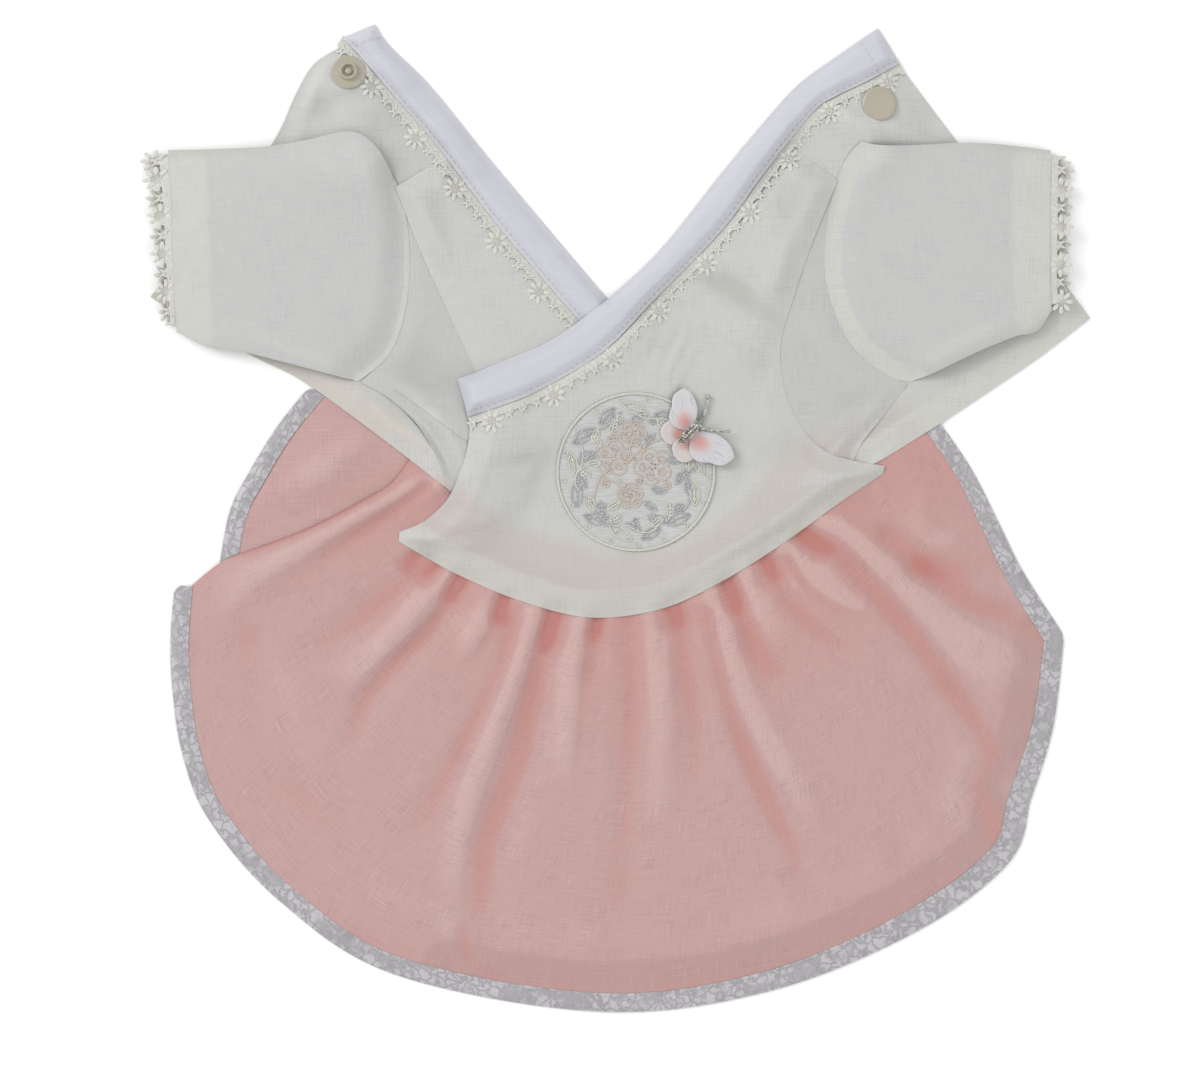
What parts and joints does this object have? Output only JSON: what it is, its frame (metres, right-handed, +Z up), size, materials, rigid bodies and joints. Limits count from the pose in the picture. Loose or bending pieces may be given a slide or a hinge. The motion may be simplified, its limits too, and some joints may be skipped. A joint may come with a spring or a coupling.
{
  "type": "dog hanbok",
  "caption": "Small dog dress in hanbok style, laid open back upwards: crossed ivory back panels, white collar bands, lace, short sleeves and a gathered pink skirt.",
  "frame": {"origin": "middle of the garment's bounding box, on the surface it lies on", "axes": "+X to the wearer's right sleeve side as laid, +Y from the hem towards the neck, +Z up from the surface"},
  "size_m": [0.3372, 0.3516, 0.0118],
  "materials": {
    "ivory_organza": "sheer plain weave, slight sheen",
    "white_collar": "faced plain weave, pressed",
    "pink_organza": "sheer plain weave, slight sheen",
    "silver_brocade": "woven pattern with metallic yarn",
    "cotton_lace": "embroidered lace",
    "patch_satin": "satin with embroidery",
    "wing_cloth": "embroidered applique",
    "silver_beads": "small silver-lined beads",
    "snap_plastic": "smooth moulded plastic"
  },
  "bodies": {
    "root": {"skirt_side": "pink_organza", "hem_band_side": "silver_brocade", "skirt": "pink_organza", "hem_band": "silver_brocade", "snap_left_cap": "snap_plastic", "snap_right_socket": "snap_plastic", "belly_panel_left": "ivory_organza", "belly_panel_right": "ivory_organza", "back_yoke": "ivory_organza", "sleeve_left": "ivory_organza", "sleeve_right": "ivory_organza", "cuff_lace_left_lower": "cotton_lace", "cuff_lace_left_upper": "cotton_lace", "cuff_lace_right_lower": "cotton_lace", "cuff_lace_right_upper": "cotton_lace", "back_panel_under": "ivory_organza", "collar_left": "white_collar", "collar_lace_left": "cotton_lace", "back_panel_over": "ivory_organza", "collar_right": "white_collar", "collar_lace_right": "cotton_lace", "medallion": "patch_satin", "butterfly_hindwing_left": "wing_cloth", "butterfly_hindwing_right": "wing_cloth", "butterfly_forewing_left": "wing_cloth", "butterfly_forewing_right": "wing_cloth", "butterfly_antenna_left": "silver_beads", "butterfly_antenna_right": "silver_beads", "butterfly_body": "silver_beads", "snap_left_socket": "snap_plastic", "snap_right_cap": "snap_plastic"}
  },
  "joints": []
}
